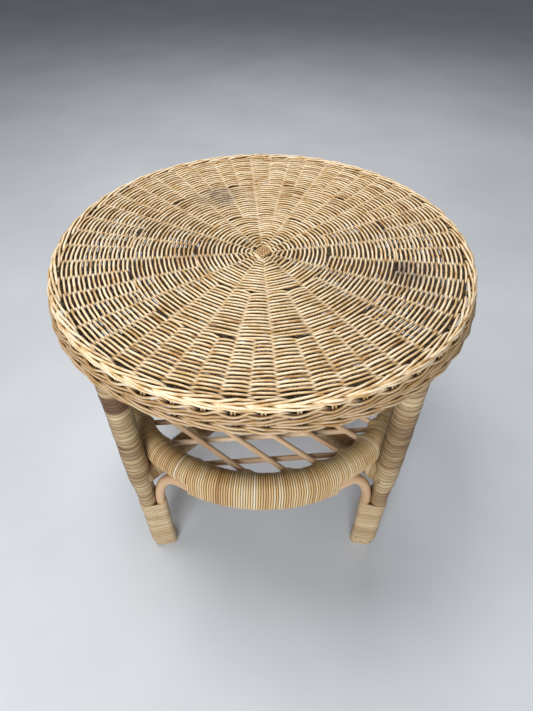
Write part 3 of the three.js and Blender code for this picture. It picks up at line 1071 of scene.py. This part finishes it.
def strand_material():
    """Round cane strands: each with its own tone, fibres along it, painted shade between them, and old
    stains.
    """
    shader = Shader("woven_cane")
    fibres = shader.noise(shader.grain((1500, 1500, 22)), 1.0, 3.0, 0.6)
    blotch = shader.noise(shader.grain((40, 40, 30)), 1.0, 3.0, 0.6)
    area = shader.noise(shader.place(), 7.0, 2.0, 0.5)
    tone = shader.stir(shader.value("tone"), blotch, 1.1)
    tone = shader.stir(tone, area, 0.45)
    tone = shader.stir(tone, fibres, 0.22, True)
    colour = shader.ramp(
        tone,
        [
            (0.0, srgb(136, 92, 48)),
            (0.22, srgb(182, 140, 82)),
            (0.45, srgb(210, 175, 121)),
            (0.7, srgb(227, 200, 153)),
            (1.0, srgb(243, 229, 202)),
        ],
    )
    # Painted shade and painted highlight: each strand is painted darker down its sides, and painted pale in
    # places along its top.
    lift = shader.part(shader.grain((1, 1, 1)), "Y")
    top = STRAND_RADIUS * MM
    side = shader.spread(lift, 0.9 * top, -0.3 * top, 0.0, 0.62)
    colour = shader.mix(side, colour, srgb(122, 82, 40))
    painted_highlight = shader.spread(lift, 0.55 * top, top, 0.0, 0.6)
    painted_highlight = shader.math("MULTIPLY", painted_highlight, shader.spread(blotch, 0.35, 0.6))
    colour = shader.mix(painted_highlight, colour, srgb(250, 239, 219))
    # Painted shade: the strands of the apron, which faces sideways below the rim, are painted darker brown.
    height = shader.part(shader.place(), "Z")
    apron = shader.spread(height, (TOP_LEVEL - 8) * MM, (TOP_LEVEL - 18) * MM, 0.0, 0.55)
    colour = shader.mix(apron, colour, srgb(138, 102, 60))
    knots = shader.noise(shader.grain((0, 0, 55)), 1.0, 0.0)
    colour = shader.mix(shader.spread(knots, 0.74, 0.8, 0.0, 0.45), colour, srgb(120, 78, 46))
    blots = shader.spread(shader.noise(shader.place(), 60.0, 3.0, 0.65), 0.3, 0.62, 0.15, 0.8)
    for centre, radius, stain in STAINS:
        share = shader.math("MULTIPLY", near(shader, centre, radius), blots)
        colour = shader.mix(share, colour, stain)
    # Painted shade: where strands dip under their neighbours or sink into the rim, they are painted
    # near-black brown and made rougher.
    depth = shader.spread(shader.value("shade"), 0.4, 0.75)
    painted_shade = shader.math("MULTIPLY", depth, shader.spread(area, 0.2, 0.8, 0.93, 1.0), True)
    colour = shader.mix(painted_shade, colour, srgb(26, 15, 7))
    gloss = shader.spread(blotch, 0.2, 0.8, 0.3, 0.46)
    shader.bump(fibres, 0.35, 0.0003)
    return shader.finish(colour, shader.math("ADD", gloss, painted_shade, True), 0.3)


def peel_material(name, dark, middle, light, edge, gloss, stains=0.0):
    """Flat peel: grain along the strip, a tone for each stretch of it, and painted shade in the creases
    between turns.
    """
    shader = Shader(name)
    fibres = shader.noise(shader.grain((900, 900, 14)), 1.0, 4.0, 0.6)
    blotch = shader.noise(shader.grain((60, 60, 9)), 1.0, 2.0, 0.5)
    tone = shader.stir(shader.value("tone"), blotch, 0.5)
    tone = shader.stir(tone, fibres, 0.35, True)
    colour = shader.ramp(tone, [(0.05, dark), (0.5, middle), (0.95, light)])
    if stains:
        patch = shader.noise(shader.place((1, 1, 2.2)), 22.0, 4.0, 0.6)
        colour = shader.mix(shader.spread(patch, 0.56, 0.72, 0.0, stains), colour, srgb(142, 98, 66))
    # Painted shade: the edge colour darkens the creases between the turns.
    colour = shader.mix(shader.math("MULTIPLY", shader.value("shade"), 0.85), colour, edge)
    shader.bump(fibres, 0.4, 0.0003)
    return shader.finish(colour, shader.spread(blotch, 0.2, 0.8, gloss, gloss + 0.18), 0.45)


def cane_material():
    """Bare cane rods: smooth, pinkish tan, with fine pores along them."""
    shader = Shader("bare_cane")
    fibres = shader.noise(shader.grain((700, 700, 10)), 1.0, 4.0, 0.65)
    pores = shader.noise(shader.grain((2400, 2400, 60)), 1.0, 2.0, 0.5)
    blotch = shader.noise(shader.grain((30, 30, 8)), 1.0, 3.0, 0.5)
    tone = shader.stir(shader.value("tone"), blotch, 1.0)
    tone = shader.stir(tone, fibres, 0.6, True)
    stops = [(0.0, srgb(172, 134, 98)), (0.5, srgb(216, 181, 143)), (1.0, srgb(236, 211, 177))]
    colour = shader.ramp(tone, stops)
    colour = shader.mix(shader.spread(pores, 0.6, 0.75, 0.0, 0.35), colour, srgb(142, 98, 66))
    shader.bump(fibres, 0.25, 0.0003)
    return shader.finish(colour, shader.spread(blotch, 0.2, 0.8, 0.38, 0.52))


def pole_material():
    """The thick poles of the frame, which hardly show: rough brown cane, darkened further by painted shade,
    as they sit in shadow under the top and behind the apron.
    """
    shader = Shader("frame_pole")
    fibres = shader.noise(shader.place((60, 60, 14)), 6.0, 4.0, 0.6)
    stops = [(0.3, srgb(84, 58, 36)), (0.6, srgb(120, 88, 58)), (0.8, srgb(146, 112, 78))]
    colour = shader.ramp(fibres, stops)
    shader.bump(fibres, 0.4, 0.001)
    return shader.finish(colour, shader.spread(fibres, 0.3, 0.7, 0.5, 0.7))


def floor_material():
    shader = Shader("studio_floor")
    cloud = shader.noise(shader.place(), 3.0, 3.0, 0.5)
    colour = shader.ramp(cloud, [(0.3, srgb(196, 200, 206)), (0.7, srgb(206, 210, 215))])
    return shader.finish(colour, 0.55)


# ---- stage


def add_stage():
    """Floor, camera and soft studio lights."""
    size = FLOOR_HALF_WIDTH
    mesh = bpy.data.meshes.new("studio_floor")
    corners = [(-size, -size, 0), (size, -size, 0), (size, size, 0), (-size, size, 0)]
    mesh.from_pydata(corners, [], [(0, 1, 2, 3)])
    floor = bpy.data.objects.new("studio_floor", mesh)
    floor.data.materials.append(floor_material())
    bpy.context.scene.collection.objects.link(floor)

    camera_data = bpy.data.cameras.new("camera")
    camera_data.sensor_width = 36
    camera_data.lens = CAMERA_LENS
    camera_data.clip_start = 0.01
    camera = bpy.data.objects.new("camera", camera_data)
    camera.location = CAMERA_PLACE
    camera.rotation_euler = (math.radians(90 - CAMERA_DOWN), 0, 0)
    bpy.context.scene.collection.objects.link(camera)
    bpy.context.scene.camera = camera

    for name, (place, target, width, power, tint) in LIGHTS.items():
        light_data = bpy.data.lights.new(name, "AREA")
        light_data.shape = "SQUARE"
        light_data.size = width
        light_data.energy = power
        light_data.color = tint
        light = bpy.data.objects.new(name, light_data)
        light.location = place
        aim = np.array(target) - np.array(place)
        flat = math.hypot(aim[0], aim[1])
        light.rotation_euler = (math.atan2(flat, -aim[2]), 0, math.atan2(-aim[0], aim[1]))
        bpy.context.scene.collection.objects.link(light)

    world = bpy.data.worlds.new("studio")
    world.use_nodes = True
    background = world.node_tree.nodes["Background"]
    background.inputs["Color"].default_value = WORLD_COLOUR
    background.inputs["Strength"].default_value = WORLD_STRENGTH
    bpy.context.scene.world = world
    bpy.context.scene.view_settings.view_transform = "Standard"


# ---- the whole table


add_stage()

STRANDS = strand_material()
WIDE_PEEL = peel_material(
    "wide_peel", srgb(96, 66, 38), srgb(158, 131, 94), srgb(208, 188, 148), srgb(50, 32, 18), 0.4, 0.5
)
FOOT_PEEL = peel_material(
    "foot_peel", srgb(150, 118, 84), srgb(190, 164, 126), srgb(214, 194, 158), srgb(84, 60, 38), 0.45, 0.2
)
NARROW_PEEL = peel_material(
    "narrow_peel", srgb(186, 138, 80), srgb(230, 193, 134), srgb(250, 234, 200), srgb(52, 30, 14), 0.32
)
BARE_CANE = cane_material()
POLE = pole_material()

inner_rows, middle_rows, outer_rows = add_rows()
inner_rows.make("woven_rows_inner", STRANDS, "woven_strands", "top_centre_cross", "top_weave_inner")
middle_rows.make("woven_rows_middle", STRANDS, "woven_strands", "top_weave_middle")
outer_rows.make("woven_rows_outer", STRANDS, "woven_strands", "top_weave_outer")
add_stakes().make("woven_stakes", STRANDS, "woven_strands")
rim_strands, apron_strands = add_rim()
rim_strands.make("rim_wales", STRANDS, "woven_strands", "rim_plait")
apron_strands.make("apron_strands", STRANDS, "woven_strands", "apron_weave")

for name, ways in CORNERS.items():
    corner = np.array(ways) * LEG_OFFSET
    leg_peel = add_leg_wrap(name, corner)
    leg_peel.make(f"leg_peel_{name}", WIDE_PEEL, "bark_peel", f"leg_wrap_{name}", f"joint_wrap_{name}")
    foot_peel = add_foot_wrap(name, corner, ways)
    foot_peel.make(f"foot_peel_{name}", FOOT_PEEL, "bark_peel", f"foot_wrap_{name}", f"leg_pole_{name}")
for number in (1, 2):
    add_brace_wrap(number - 1).make(f"brace_peel_{number}", WIDE_PEEL, "bark_peel", f"brace_pole_{number}")

for number, side in enumerate(SIDES):
    add_arch(number).make(f"arch_cane_{side}", BARE_CANE, "bare_cane", f"arch_{side}")
for stretch, is_bundle, order in add_ring_wrap():
    if is_bundle:
        label, node = f"ring_peel_{SIDES[order]}", f"ring_arch_wrap_{SIDES[order]}"
    else:
        label, node = f"ring_peel_corner_{order + 1}", f"ring_corner_wrap_{order + 1}"
    stretch.make(label, NARROW_PEEL, "narrow_peel", node)
for layer, label in zip(add_lattice(), ("lower", "upper")):
    rods = [f"lattice_{label}_rod_{i}" for i in range(1, 11)]
    layer.make(f"lattice_{label}_canes", BARE_CANE, "bare_cane", *rods)

for node in ("top_hoop", "top_cross_bar_1", "top_cross_bar_2", "shelf_ring_pole"):
    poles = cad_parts[node].data
    poles.materials.clear()
    poles.materials.append(POLE)
